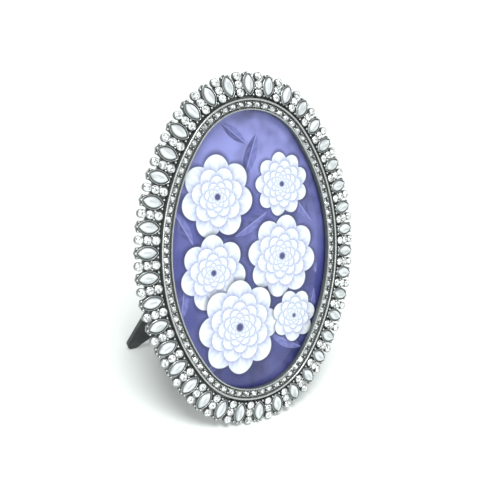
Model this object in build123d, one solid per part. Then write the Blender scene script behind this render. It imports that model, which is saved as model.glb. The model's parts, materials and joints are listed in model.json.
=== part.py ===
"""An oval picture frame: a cast border set with pearls and crystals, a glazed print, and an easel back.

The frame is built upright, its front towards -Y and X to the viewer's right, round the oval's centre.
A depth is counted from the ring's front face towards the back, along +Y.
An offset is a distance outside the edge of the oval opening.
Turns along an oval are counted from its top, towards +X.
At the end everything leans back until the border's foot and the leg's two feet share the table at Z = 0.
"""

from build123d import *
import math
import os

# The oval opening, of two end arcs and two side arcs, and the raised ring round it
opening_width = 98.8
opening_height = 147.0
opening_end_radius = 37.0
ring_width = 6.0
inner_rim_width = 0.8
outer_rim_width = 1.1
channel_depth = 2.0
ledge_depth = 3.2

# The border: marquise bezels with a radial row of three round crystals between every two
border_gap = 1.05
border_datum_depth = 2.4
border_fall_angle = 9.0
bezel_length = 12.2
bezel_width = 7.4
bezel_wall = 0.75
bezel_rim_rise = 1.0
bezel_row_gap = 0.3
bezel_arc_facets = 3
tip_bead_radius = 0.75
crystal_spacing = 4.3
crystal_width = 4.0
crystal_rise = 0.9
crystal_slope = 42.0
crystal_sides = 6
cup_wall = 0.2
cup_rise = 0.8
cup_end_share = 0.7

# The pearls: marquise cabochons with a steep flank and a flatter crown
pearl_clearance = 0.05
pearl_flank_rise = 1.0
pearl_flank_slope = 15.0
pearl_crown_rise = 1.3
pearl_crown_slope = 50.0

# The thin web behind the border, which carries bezels and cups
web_thickness = 1.3
web_seat_margin = 0.2
web_edge_margin = 0.1
web_valley_share = 0.4

# What the rabbet holds, from the front
glass_overlap = 3.2
glass_thickness = 2.0
print_thickness = 0.25
board_thickness = 4.0
rabbet_clearance = 0.4
rabbet_wall_width = 3.0
rabbet_wall_proud = 0.15

# The turn buttons that hold the back in, and their screws
button_width = 6.0
button_reach = 8.2
button_thickness = 1.0
button_gap = 0.2
screw_radius = 1.4
screw_head_radius = 2.6
screw_head_height = 1.2
screw_bore_clearance = 0.06
screw_tip_gap = 0.2
screw_bore_depth = 4.4
screw_inset = 2.6
screw_boss_wall = 2.0

# The easel leg's hinge
hinge_height = 36.0
hinge_width = 22.0
hinge_lift = 0.3
leaf_thickness = 0.8
knuckle_radius = 1.8
knuckle_length = 5.0
knuckle_gap = 0.3
pin_radius = 0.9
pin_running_clearance = 0.06
pin_grip_clearance = 0.02
back_leaf_height = 13.0
leg_leaf_height = 15.0
leaf_corner_radius = 2.0
stop_clearance = 0.12

# The easel leg: a velvet-covered board with two rounded feet and an arch between them
lean_angle = 20.0
leg_open_angle = 37.1
leg_thickness = 3.0
leg_fold_gap = 0.35
leg_top_width = 26.0
leg_top_corner_radius = 3.0
leg_foot_spacing = 63.8
leg_foot_radius = 4.3
leg_arch_height = 14.1
foot_flat_depth = 0.3

# How far a cutting piece runs past what it cuts
overrun = 1.0

# Sizes worked out from the ones above
end_centre = opening_height / 2 - opening_end_radius
side_fall = opening_width / 2 - opening_end_radius
side_centre = (end_centre**2 - side_fall**2) / (2 * side_fall)
side_radius = side_centre + opening_width / 2
arc_join = math.atan2(side_centre, end_centre)
pearl_line = ring_width + border_gap + bezel_length / 2
fall_sine = math.sin(math.radians(border_fall_angle))
fall_cosine = math.cos(math.radians(border_fall_angle))
web_front = border_datum_depth + bezel_length / 2 * fall_sine + web_seat_margin
web_back = web_front + web_thickness
cup_radius = crystal_width / 2 + cup_wall
glass_front = ledge_depth
print_front = glass_front + glass_thickness
board_front = print_front + print_thickness
back_face = board_front + board_thickness
rabbet_offset = glass_overlap + rabbet_clearance
wall_back = back_face + rabbet_wall_proud
screw_line = rabbet_offset + screw_inset
button_front = wall_back + button_gap
button_back = button_front + button_thickness
axis_depth = back_face + hinge_lift + knuckle_radius
leg_front = wall_back + leg_fold_gap
leg_back = leg_front + leg_thickness
leg_top_drop = knuckle_radius + knuckle_gap
middle_knuckle_length = hinge_width - 2 * (knuckle_length + knuckle_gap)
frame_plane = Plane.XZ
border_surface = Plane(
    origin=(0, border_datum_depth, 0),
    x_dir=(1, 0, 0),
    z_dir=(0, -fall_cosine, fall_sine),
)


def oval(offset):
    """The opening's outline, grown by an offset: an arc for each end and each side."""
    end_reach = opening_end_radius + offset
    corner = (end_reach * math.sin(arc_join), end_centre + end_reach * math.cos(arc_join))
    end_arc = ThreePointArc((-corner[0], corner[1]), (0, opening_height / 2 + offset), corner)
    side_arc = ThreePointArc(corner, (opening_width / 2 + offset, 0), (corner[0], -corner[1]))
    return make_face([end_arc, side_arc, mirror(end_arc, Plane.XZ), mirror(side_arc, Plane.YZ)])


def slab(outline, front, back):
    """An outline in the frame's plane, pushed through it from one depth to another."""
    return extrude(frame_plane.offset(-back) * outline, amount=back - front)


def band(inner, outer, front, back):
    """An oval band between two offsets and two depths."""
    return slab(oval(outer) - oval(inner), front, back)


def oval_arcs(offset):
    """(radius, centre x, centre z, first turn, last turn) of an oval's arcs, from its top and back to it."""
    end_reach = opening_end_radius + offset
    side_reach = side_radius + offset
    half_turn = math.pi
    return [
        (end_reach, 0, end_centre, 0, arc_join),
        (side_reach, -side_centre, 0, arc_join, half_turn - arc_join),
        (end_reach, 0, -end_centre, half_turn - arc_join, half_turn + arc_join),
        (side_reach, side_centre, 0, half_turn + arc_join, 2 * half_turn - arc_join),
        (end_reach, 0, end_centre, 2 * half_turn - arc_join, 2 * half_turn),
    ]


def oval_length(offset):
    """The length of the oval that an offset gives."""
    return sum(radius * (last - first) for radius, _, _, first, last in oval_arcs(offset))


def oval_places(offset, count, phase_share=0.0):
    """(x, z, turn) at equal steps along an oval, where the turn is that of the outward direction."""
    step = oval_length(offset) / count
    run_before = 0.0
    places = []
    for radius, centre_x, centre_z, first, last in oval_arcs(offset):
        run_after = run_before + radius * (last - first)
        while len(places) < count and (len(places) + phase_share) * step < run_after:
            turn = first + ((len(places) + phase_share) * step - run_before) / radius
            places.append((centre_x + radius * math.sin(turn), centre_z + radius * math.cos(turn), turn))
        run_before = run_after
    return places


def at_place(place):
    """The location that carries a piece, made at the origin with outward along +Z, to a place on an oval."""
    x, z, turn = place
    return Location((x, 0, z), (0, math.degrees(turn), 0))


bezel_count = round(oval_length(pearl_line) / (bezel_width + 2 * cup_radius + 2 * bezel_row_gap))
bezel_places = oval_places(pearl_line, bezel_count)
row_places = oval_places(pearl_line, bezel_count, phase_share=0.5)
button_names = ("right", "left")
button_places = oval_places(screw_line, len(button_names), phase_share=0.5)


def marquise_half_width(length, width, along):
    """Half the width of a marquise at a distance from its middle, along its length."""
    arc_radius = ((length / 2) ** 2 + (width / 2) ** 2) / width
    return math.sqrt(max(arc_radius**2 - along**2, 0)) - (arc_radius - width / 2)


def marquise(length, width):
    """A pointed oval of two equal arcs, as short chords, with its length along the second direction."""
    arc_radius = ((length / 2) ** 2 + (width / 2) ** 2) / width
    half_turn = math.asin(length / 2 / arc_radius)
    turns = [half_turn * (2 * step / bezel_arc_facets - 1) for step in range(bezel_arc_facets)]
    side = [(arc_radius * (math.cos(t) - 1) + width / 2, arc_radius * math.sin(t)) for t in turns]
    return Polygon(*side, *[(-across, -along) for across, along in side], align=None)


def stone(outline, rise, slope):
    """A stone on the XY plane, tapering from its girdle to a flat table."""
    return extrude(outline, amount=rise, taper=slope)


def pearl():
    """A marquise cabochon seated in its bezel, at the origin."""
    margin = bezel_wall + pearl_clearance
    girdle = marquise(bezel_length - 2 * margin, bezel_width - 2 * margin)
    flank = stone(girdle, pearl_flank_rise, pearl_flank_slope)
    shoulder = flank.faces().sort_by(Axis.Z)[-1]
    crown = stone(shoulder, pearl_crown_rise, pearl_crown_slope)
    return border_surface * (flank + crown)


def behind_web():
    """A block that takes away what reaches past the middle of the web."""
    middle = web_front + web_thickness / 2
    span = bezel_length + crystal_width
    return Pos(0, middle + span / 2, 0) * Box(2 * span, span, 2 * span)


def root_depth():
    """How far a setting has to go down from the border's surface to end inside the web."""
    return (web_back - border_datum_depth + bezel_length / 2 * fall_sine) / fall_cosine


def bezel():
    """A marquise cup with a raised rim, at the origin with its outer tip along +Z."""
    foot = border_surface.offset(-root_depth())
    pocket = marquise(bezel_length - 2 * bezel_wall, bezel_width - 2 * bezel_wall)
    cup = extrude(foot * marquise(bezel_length, bezel_width), amount=root_depth() + bezel_rim_rise)
    cup -= extrude(border_surface * pocket, amount=bezel_rim_rise + overrun)
    return cup - behind_web()


def cup_row():
    """The setting of one radial row, with pointed ends and room for three round stones."""
    reach = crystal_spacing + cup_radius
    corner = crystal_spacing + cup_radius * (1 - cup_end_share)
    side = [(0, -reach), (cup_radius, -corner), (cup_radius, corner)]
    outline = Polygon(*side, *[(-across, -along) for across, along in side], align=None)
    foot = border_surface.offset(-root_depth())
    return extrude(foot * outline, amount=root_depth() + cup_rise) - behind_web()


def crystal(step):
    """One round crystal of a radial row, on its setting at the origin."""
    girdle = Pos(0, step * crystal_spacing) * RegularPolygon(crystal_width / 2, crystal_sides)
    return border_surface.offset(cup_rise) * stone(girdle, crystal_rise, crystal_slope)


def web_outline():
    """The border's scalloped outline: a lobe round each bezel's tip and one round each radial row's end."""
    tip = bezel_length / 2 * fall_cosine
    valley = tip * web_valley_share
    shoulder = tip - tip_bead_radius - web_edge_margin
    shoulder_reach = marquise_half_width(bezel_length, bezel_width, shoulder) + 2 * tip_bead_radius
    valley_reach = marquise_half_width(bezel_length, bezel_width, valley) + web_edge_margin
    bezel_side = [(-valley_reach, valley), (-shoulder_reach, shoulder)]
    row_end = crystal_spacing + cup_radius + web_edge_margin
    row_side = [(-cup_radius - web_edge_margin, row_end - cup_radius * cup_end_share)]
    points = []
    for bezel_place, row_place in zip(bezel_places, row_places):
        for place, side, crest in (
            (bezel_place, bezel_side, [(0, tip + tip_bead_radius)]),
            (row_place, row_side, [(0, row_end)]),
        ):
            x, z, turn = place
            for across, along in side + crest + [(-a, b) for a, b in side[::-1]]:
                right = across * math.cos(turn) + along * math.sin(turn)
                up = along * math.cos(turn) - across * math.sin(turn)
                points.append((x + right, z + up))
    return Polygon(*points[::-1], align=None)


def cast_frame():
    """The casting: ring and channel, scalloped web with its settings, rabbet wall and screw bosses."""
    web = slab(web_outline(), web_front, web_back)
    setting, row = bezel(), cup_row()
    settings = [at_place(place) * setting for place in bezel_places]
    rows = [at_place(place) * row for place in row_places]
    rear = oval(rabbet_offset + rabbet_wall_width)
    for x, z, _ in button_places:
        rear += Pos(x, z) * Circle(screw_radius + screw_boss_wall)
    middle = (web_front + web_back) / 2
    casting = web.fuse(slab(oval(ring_width), 0, middle), slab(rear, middle, wall_back), *settings, *rows)
    casting -= slab(oval(0), -overrun, wall_back)
    casting -= slab(oval(rabbet_offset), ledge_depth, wall_back + overrun)
    casting -= band(inner_rim_width, ring_width - outer_rim_width, -overrun, channel_depth)
    bore_foot = wall_back - screw_bore_depth
    bore = slab(Circle(screw_radius + screw_bore_clearance), bore_foot, wall_back + overrun)
    for x, z, _ in button_places:
        casting -= Pos(x, 0, z) * bore
    return casting


def knuckle(length, bore_clearance):
    """A hinge barrel round the leg's axis, with its bore."""
    barrel = Cylinder(knuckle_radius, length, rotation=(0, 90, 0))
    barrel -= Cylinder(pin_radius + bore_clearance, length + overrun, rotation=(0, 90, 0))
    return Pos(0, axis_depth, hinge_height) * barrel


def pin_space(length, radius):
    """A clear cylinder round the leg's axis."""
    return Pos(0, axis_depth, hinge_height) * Cylinder(radius, length, rotation=(0, 90, 0))


def leaf_plate(near, far, front):
    """A hinge leaf's plate from its knuckle side to its far side, where its corners are rounded."""
    outline = Pos(0, (near + far) / 2) * Rectangle(hinge_width, abs(far - near))
    corners = [corner for corner in outline.vertices() if abs(corner.Y - far) < leaf_corner_radius]
    return slab(fillet(corners, leaf_corner_radius), front, front + leaf_thickness)


def hinge_back_leaf():
    """The leaf fixed to the back board: a plate above the axis and two outer knuckles."""
    plate = leaf_plate(hinge_height, hinge_height + back_leaf_height, back_face)
    plate -= pin_space(middle_knuckle_length + 2 * knuckle_gap, leg_top_drop)
    plate -= pin_space(hinge_width + overrun, pin_radius + pin_grip_clearance)
    reach = (hinge_width - knuckle_length) / 2
    outer = [Pos(side * reach, 0, 0) * knuckle(knuckle_length, pin_grip_clearance) for side in (-1, 1)]
    return plate.fuse(*outer)


def hinge_leg_leaf():
    """The leaf fixed to the leg, folded: a plate, the middle knuckle and a strip past it for the stop lug."""
    plate = leaf_plate(hinge_height - leg_top_drop, hinge_height - leg_leaf_height, leg_back)
    strip = Pos(0, hinge_height) * Rectangle(middle_knuckle_length, 2 * back_leaf_height)
    neck = slab(strip, leg_back, leg_back + leaf_thickness)
    leaf = plate.fuse(neck, knuckle(middle_knuckle_length, pin_running_clearance))
    return leaf - pin_space(hinge_width + overrun, pin_radius + pin_running_clearance)


def stop_space():
    """Everything in front of the face that the open leg's stop lug meets."""
    reach = 2 * back_leaf_height
    face = back_face + leaf_thickness + stop_clearance
    return Pos(0, face - reach / 2, hinge_height + reach / 2) * Box(hinge_width, reach, reach)


def hinge_pin():
    """The pin through all three knuckles."""
    return pin_space(hinge_width, pin_radius)


def tangent_point(start, centre, radius):
    """Where the line from a point above a circle touches its right side."""
    across = centre[0] - start[0]
    along = centre[1] - start[1]
    spread = math.hypot(across, along)
    heading = math.atan2(along, across) + math.asin(radius / spread)
    reach = math.sqrt(spread**2 - radius**2)
    return (start[0] + reach * math.cos(heading), start[1] + reach * math.sin(heading))


def leg_outline(length):
    """The leg's outline, hung from the axis."""
    foot = (leg_foot_spacing / 2, leg_foot_radius - length)
    arch_span = (foot[0] ** 2 + leg_arch_height**2) / (2 * leg_arch_height)
    arch_turn = math.asin(foot[0] / arch_span)
    top_corner = (leg_top_width / 2, -leg_top_drop)
    side_end = tangent_point(top_corner, foot, leg_foot_radius)
    toe_reach = leg_foot_radius * math.sin(arch_turn)
    arch_end = (foot[0] - toe_reach, foot[1] - leg_foot_radius * math.cos(arch_turn))
    side = Line(top_corner, side_end)
    toe = ThreePointArc(side_end, (foot[0], -length), arch_end)
    arch = ThreePointArc(arch_end, (0, leg_arch_height - length), (-arch_end[0], arch_end[1]))
    top = Line(top_corner, (-top_corner[0], top_corner[1]))
    face = make_face([side, toe, arch, mirror(side, Plane.YZ), mirror(toe, Plane.YZ), top])
    return fillet(face.vertices().sort_by(Axis.Y)[-2:], leg_top_corner_radius)


def easel_leg(length):
    """The leg, folded against the back."""
    return slab(Pos(0, hinge_height) * leg_outline(length), leg_front, leg_back)


def turn_button():
    """A flat round-ended tab at the origin, hung on its screw and reaching inward along -Z."""
    blank = Pos(0, -button_reach / 2) * SlotCenterToCenter(button_reach, button_width, rotation=90)
    return slab(blank - Circle(screw_radius + screw_bore_clearance), button_front, button_back)


def button_screw():
    """A round-head screw at the origin, standing in its blind bore."""
    head_front = button_back + button_gap
    shank = slab(Circle(screw_radius), wall_back - screw_bore_depth + screw_tip_gap, head_front)
    return shank + slab(Circle(screw_head_radius), head_front, head_front + screw_head_height)


def rabbet_sheet(front, back):
    """A flat oval that fits the rabbet, between two depths."""
    return slab(oval(glass_overlap), front, back)


def leg_length_to(table_height):
    """The leg's length from its axis, so that its open feet end at a height in the leaning frame."""
    lean = math.radians(lean_angle)
    from_upright = math.radians(leg_open_angle - lean_angle)
    axis_height = hinge_height * math.cos(lean) - axis_depth * math.sin(lean)
    front_drop = (axis_depth - leg_front) * math.sin(from_upright)
    return (axis_height - table_height - front_drop) / math.cos(from_upright)


def fixed_nodes():
    """The nodes that stay with the casting, but for the casting itself."""
    bezel_pearl, screw = pearl(), button_screw()
    nodes = {
        "pearl_cabochons": [at_place(place) * bezel_pearl for place in bezel_places],
        "glass_pane": [rabbet_sheet(glass_front, print_front)],
        "photo_print": [rabbet_sheet(print_front, board_front)],
        "back_board": [rabbet_sheet(board_front, back_face)],
        "hinge_back_leaf": [hinge_back_leaf()],
        "hinge_pin": [hinge_pin()],
        "turn_button_screws": [at_place(place) * screw for place in button_places],
    }
    for name, step in (("inner", -1), ("middle", 0), ("outer", 1)):
        row_crystal = crystal(step)
        nodes[f"{name}_crystals"] = [at_place(place) * row_crystal for place in row_places]
    return nodes


def leg_nodes(length):
    """The nodes that swing with the leg, open to its stop."""
    opened = Pos(0, axis_depth, hinge_height) * Rot(leg_open_angle, 0, 0)
    opened *= Pos(0, -axis_depth, -hinge_height)
    return {
        "easel_leg": [opened * easel_leg(length)],
        "hinge_leg_leaf": [opened * hinge_leg_leaf() - stop_space()],
    }


def button_nodes():
    """One node for each turn button, which swivels by itself."""
    named_places = zip(button_names, button_places)
    return {f"turn_button_{name}": [at_place(place) * turn_button()] for name, place in named_places}


def main():
    """Builds the nodes, stands them on the table and writes one file for each."""
    leaned = Rot(-lean_angle, 0, 0)
    casting = cast_frame()
    lowest = (leaned * casting).bounding_box().min.Z
    leg_length = leg_length_to(lowest)
    nodes = {"cast_frame": [casting], **fixed_nodes(), **leg_nodes(leg_length), **button_nodes()}
    placed = {name: [leaned * solid for solid in solids] for name, solids in nodes.items()}
    boxes = [Compound(solids).bounding_box() for solids in placed.values()]
    front = min(box.min.Y for box in boxes)
    rear = max(box.max.Y for box in boxes)
    stand = Pos(0, -(front + rear) / 2, -lowest - foot_flat_depth)
    table_size = 4 * opening_height
    table = Pos(0, 0, -table_size / 2) * Box(table_size, table_size, table_size)
    os.makedirs("parts", exist_ok=True)
    for name, solids in placed.items():
        stood = [stand * solid for solid in solids]
        if name in ("cast_frame", "easel_leg"):
            stood = [whole - table for whole in stood]
        export_step(Compound(stood), f"parts/{name}.step")
    print("bezels", bezel_count)
    axis = stand * leaned * Pos(0, axis_depth, hinge_height)
    print("leg axis", axis.position, "leg length", leg_length)
    for name, (x, z, _) in zip(button_names, button_places):
        print("turn button", name, (stand * leaned * Pos(x, button_front, z)).position)


main()
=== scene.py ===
"""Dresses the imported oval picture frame: cast border, pearls, crystals, glazed picture and easel back."""

import json
import logging
import math
import random
from collections.abc import Callable, Iterable, Sequence
from dataclasses import dataclass, field
from enum import Enum

import bmesh
import bpy
from mathutils import Matrix, Vector
from mathutils.geometry import tessellate_polygon


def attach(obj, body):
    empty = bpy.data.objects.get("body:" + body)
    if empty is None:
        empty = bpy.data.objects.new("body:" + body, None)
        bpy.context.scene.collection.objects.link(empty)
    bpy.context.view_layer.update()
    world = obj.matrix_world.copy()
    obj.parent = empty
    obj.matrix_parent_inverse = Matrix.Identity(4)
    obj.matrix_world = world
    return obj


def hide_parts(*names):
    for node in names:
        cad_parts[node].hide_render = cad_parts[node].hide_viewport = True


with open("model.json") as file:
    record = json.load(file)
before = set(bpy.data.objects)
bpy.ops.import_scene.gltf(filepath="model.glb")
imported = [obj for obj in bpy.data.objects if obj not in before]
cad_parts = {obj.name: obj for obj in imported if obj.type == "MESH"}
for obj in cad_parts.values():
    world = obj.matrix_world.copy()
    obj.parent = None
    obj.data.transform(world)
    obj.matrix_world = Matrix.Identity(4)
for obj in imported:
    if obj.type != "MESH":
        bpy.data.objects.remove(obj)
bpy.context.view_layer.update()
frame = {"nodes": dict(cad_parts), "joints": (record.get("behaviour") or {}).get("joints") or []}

Colour = tuple[float, float, float, float]
Point = tuple[float, float, float]
Pair = tuple[float, float]
Place = Callable[[float, float, float], Point]

MM = 0.001
RIGHT = Vector((1, 0, 0))
WHITE: Colour = (1.0, 1.0, 1.0, 1.0)
BUTTON_REACH = 55.6
BUTTON_DEPTH = 9.8


class Body(Enum):
    """The bodies that a piece can ride on."""

    FRAME = "frame"
    LEG = "leg"


class Slot(Enum):
    """The record's material slots, passed along with the new pieces."""

    SILVER = "antique_silver"
    PEARL = "pearl"
    CRYSTAL = "crystal"
    PRINT = "printed_paper"
    VELVET = "velvet_board"
    STEEL = "plated_steel"


class LampKind(Enum):
    """The kinds of lamp: a square one near by, or an even light from one side."""

    AREA = "AREA"
    SUN = "SUN"


def shade(red: float, green: float, blue: float) -> Colour:
    """Turns a display colour into the linear colour that shaders use.

    Args:
        red, green, blue: display values from 0 to 255.

    Returns:
        The same colour as linear values from 0 to 1, opaque.
    """
    def linear(value: float) -> float:
        """One display value on the usual display curve, as a linear value."""
        part = value / 255
        return part / 12.92 if part <= 0.04045 else ((part + 0.055) / 1.055) ** 2.4

    return (linear(red), linear(green), linear(blue), 1.0)


def circle(radius: float, count: int) -> list[Pair]:
    """Points round a circle.

    Args:
        radius: the circle's radius.
        count: how many points.

    Returns:
        (right, outward) points, clockwise from the outermost.
    """
    turns = [2 * math.pi * i / count for i in range(count)]
    return [(radius * math.sin(turn), radius * math.cos(turn)) for turn in turns]


def dome(radius: float, middle: float, bands: Sequence[Pair], sense: int = 1) -> list[Point]:
    """The profile of a bead's round top.

    Args:
        radius: the bead's radius.
        middle: the level of its middle.
        bands: the angle above the middle in degrees, and the patina, of each row.
        sense: 1 where levels grow toward the top, -1 where they shrink.

    Returns:
        (radius, level, patina) rows, from the middle up.
    """
    rows = []
    for degrees, dark in bands:
        angle = math.radians(degrees)
        rows.append((radius * math.cos(angle), middle + sense * radius * math.sin(angle), dark))
    return rows


# Shader maths


class Term:
    """A shader socket that ordinary arithmetic can be written on."""

    def __init__(self, graph: "Graph", socket: bpy.types.NodeSocket) -> None:
        """Wraps a socket of a graph."""
        self.graph = graph
        self.socket = socket

    def math(self, operation: str, *others: "Term | float") -> "Term":
        """Adds a Math node.

        Args:
            operation: the Math node's operation.
            others: its second and third operand.

        Returns:
            The node's value.
        """
        values = dict(enumerate((self, *others)))
        return self.graph.node("ShaderNodeMath", {"operation": operation}, values)

    def __add__(self, other: "Term | float") -> "Term":
        """The sum."""
        return self.math("ADD", other)

    __radd__ = __add__

    def __mul__(self, other: "Term | float") -> "Term":
        """The product."""
        return self.math("MULTIPLY", other)

    __rmul__ = __mul__

    def __sub__(self, other: "Term | float") -> "Term":
        """The difference."""
        return self.math("SUBTRACT", other)

    def __rsub__(self, other: float) -> "Term":
        """A number less this value."""
        return self.math("MULTIPLY_ADD", -1.0, other)

    def __truediv__(self, other: "Term | float") -> "Term":
        """The quotient."""
        return self.math("DIVIDE", other)

    def __pow__(self, other: float) -> "Term":
        """This value to a power."""
        return self.math("POWER", other)

    def __abs__(self) -> "Term":
        """The size of this value."""
        return self.math("ABSOLUTE")

    def sine(self) -> "Term":
        """The sine of this value."""
        return self.math("SINE")

    def at_least(self, other: "Term | float") -> "Term":
        """The larger of two values."""
        return self.math("MAXIMUM", other)

    def at_most(self, other: "Term | float") -> "Term":
        """The smaller of two values."""
        return self.math("MINIMUM", other)

    def held(self) -> "Term":
        """This value, held between 0 and 1."""
        return self.at_least(0.0).at_most(1.0)

    def swing(self, share: float) -> "Term":
        """How far a noise lies from its middle value, times a share."""
        return (self - 0.5) * share

    def step(self, low: float, high: float) -> "Term":
        """Rises smoothly from 0 to 1 between two values.

        Args:
            low: where the rise starts.
            high: where the rise ends.

        Returns:
            A mask from 0 to 1.
        """
        settings = {"interpolation_type": "SMOOTHSTEP", "clamp": True}
        inputs = {0: self, 1: low, 2: high, 3: 0.0, 4: 1.0}
        return self.graph.node("ShaderNodeMapRange", settings, inputs)


class Graph:
    """The node tree of one material, or of the world."""

    def __init__(self, owner: bpy.types.Material | bpy.types.World) -> None:
        """Empties the node tree of a material or of a world.

        Args:
            owner: the material or the world.
        """
        self.owner = owner
        self.owner.use_nodes = True
        self.tree = self.owner.node_tree
        self.tree.nodes.clear()

    @classmethod
    def of_material(cls, name: str) -> "Graph":
        """Starts a material with an empty node tree."""
        return cls(bpy.data.materials.new(name))

    def node(
        self,
        kind: str,
        settings: dict[str, object] | None = None,
        inputs: dict[str | int, object] | None = None,
        output: str | int = 0,
    ) -> Term:
        """Adds a node.

        Args:
            kind: the node's type.
            settings: its own settings, set first.
            inputs: the value or the linked term of each socket, by name or place.
            output: the socket that is returned.

        Returns:
            The node's chosen output, or its first input where it has none.
        """
        made = self.tree.nodes.new(kind)
        for key, value in (settings or {}).items():
            setattr(made, key, value)
        for key, value in (inputs or {}).items():
            if isinstance(value, Term):
                self.tree.links.new(value.socket, made.inputs[key])
            else:
                made.inputs[key].default_value = value
        return Term(self, made.outputs[output] if len(made.outputs) else made.inputs[0])

    def blend(self, factor: Term | float, first: Term | Colour, second: Term | Colour) -> Term:
        """Mixes two colours.

        Args:
            factor: how much of the second colour shows.
            first: the colour at 0.
            second: the colour at 1.

        Returns:
            The mixed colour.
        """
        settings = {"data_type": "RGBA", "blend_type": "MIX"}
        return self.node("ShaderNodeMix", settings, {0: factor, 6: first, 7: second}, 2)

    def mix_shaders(self, factor: Term, first: Term, second: Term) -> Term:
        """Shows the second shader by the factor's share and the first by the rest."""
        return self.node("ShaderNodeMixShader", None, {0: factor, 1: first, 2: second})

    def place(self) -> Term:
        """The object's own coordinates, in metres."""
        return self.node("ShaderNodeTexCoord", output="Object")

    def vector(self, operation: str, where: Term, other: Sequence[float], output: str = "Vector") -> Term:
        """Adds a Vector Math node.

        Args:
            operation: the node's operation.
            where: its first operand.
            other: its second operand.
            output: the socket that is returned.

        Returns:
            The node's vector, or its value.
        """
        settings = {"operation": operation}
        return self.node("ShaderNodeVectorMath", settings, {0: where, 1: tuple(other)}, output)

    def axis(self, where: Term, name: str) -> Term:
        """One of the three parts of a place, "X", "Y" or "Z"."""
        return self.node("ShaderNodeSeparateXYZ", None, {0: where}, name)

    def noise(self, where: Term, scale: float, detail: float = 3.0, rough: float = 0.5) -> Term:
        """A noise from 0 to 1.

        Args:
            where: the coordinates.
            scale: how many blotches to a unit of length.
            detail: how many octaves.
            rough: how strong the finer octaves are.

        Returns:
            The noise value.
        """
        inputs = {"Vector": where, "Scale": scale, "Detail": detail, "Roughness": rough}
        return self.node("ShaderNodeTexNoise", None, inputs)

    def attribute(self, name: str, output: str = "Fac") -> Term:
        """A value that the mesh carries under a name."""
        return self.node("ShaderNodeAttribute", {"attribute_name": name}, output=output)

    def seen(self) -> Term:
        """What the camera sees, directly, in a mirror or through glass.

        Returns:
            1 on such rays, 0 on all others.
        """
        rays = ("Is Camera Ray", "Is Glossy Ray", "Is Transmission Ray")
        camera, glossy, through = (self.node("ShaderNodeLightPath", output=name) for name in rays)
        return camera.at_least(glossy).at_least(through)

    def bump(self, height: Term, distance: float, strength: float, flat: bool = False) -> Term:
        """A bumped normal.

        Args:
            height: the height, from 0 to 1.
            distance: what a height of 1 stands for, in metres.
            strength: how much of it shows.
            flat: True starts from each face's own normal, for a flat sheet.

        Returns:
            The normal.
        """
        inputs: dict[str | int, object] = {"Height": height, "Distance": distance, "Strength": strength}
        if flat:
            inputs["Normal"] = self.node("ShaderNodeNewGeometry", output="True Normal")
        return self.node("ShaderNodeBump", None, inputs)

    def surface(self, **inputs: object) -> Term:
        """The main shader, with its sockets named in words joined by underscores."""
        names = (key.replace("_", " ").title().replace("Ior", "IOR") for key in inputs)
        return self.node("ShaderNodeBsdfPrincipled", None, dict(zip(names, inputs.values())))

    def close(self, shader: Term, output: str = "Material") -> bpy.types.Material | bpy.types.World:
        """Links the finished shader to the output and returns the tree's owner."""
        self.node(f"ShaderNodeOutput{output}", None, {"Surface": shader})
        return self.owner


# Finishes


@dataclass(frozen=True)
class AntiqueSilver:
    """Silver-coloured casting, dark in its recesses and rubbed bright on what stands proud."""

    bright: Colour = shade(182, 186, 185)
    dull: Colour = shade(116, 121, 120)
    patina: Colour = shade(76, 81, 80)
    cloud_scale: float = 420.0
    cloud_share: float = 0.5
    grain_scale: float = 2600.0
    rubbed: Pair = (0.0, 0.45)
    stained: Pair = (0.35, 0.85)
    roughness: float = 0.26
    stain_roughness: float = 0.34
    grain_roughness: float = 0.12
    metallic: float = 0.75
    stain_metallic: float = 0.45
    relief: float = 0.00012

    def material(self) -> bpy.types.Material:
        """Makes the silver, which follows the patina that each mesh carries.

        Returns:
            The material.
        """
        graph = Graph.of_material("antique_silver")
        where = graph.place()
        cloud = graph.noise(where, self.cloud_scale)
        grain = graph.noise(where, self.grain_scale, 2.0)
        depth = graph.attribute("patina") + cloud.swing(self.cloud_share)
        rubbed = graph.blend(depth.step(*self.rubbed), self.bright, self.dull)
        shader = graph.surface(
            base_color=graph.blend(depth.step(*self.stained), rubbed, self.patina),
            metallic=self.metallic - depth.step(0.2, 0.8) * self.stain_metallic,
            roughness=(
                self.roughness + depth.step(0.1, 0.9) * self.stain_roughness
                + grain.swing(self.grain_roughness)
            ),
            normal=graph.bump(cloud * 0.6 + grain * 0.4, self.relief, 0.5),
        )
        return graph.close(shader)


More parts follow.
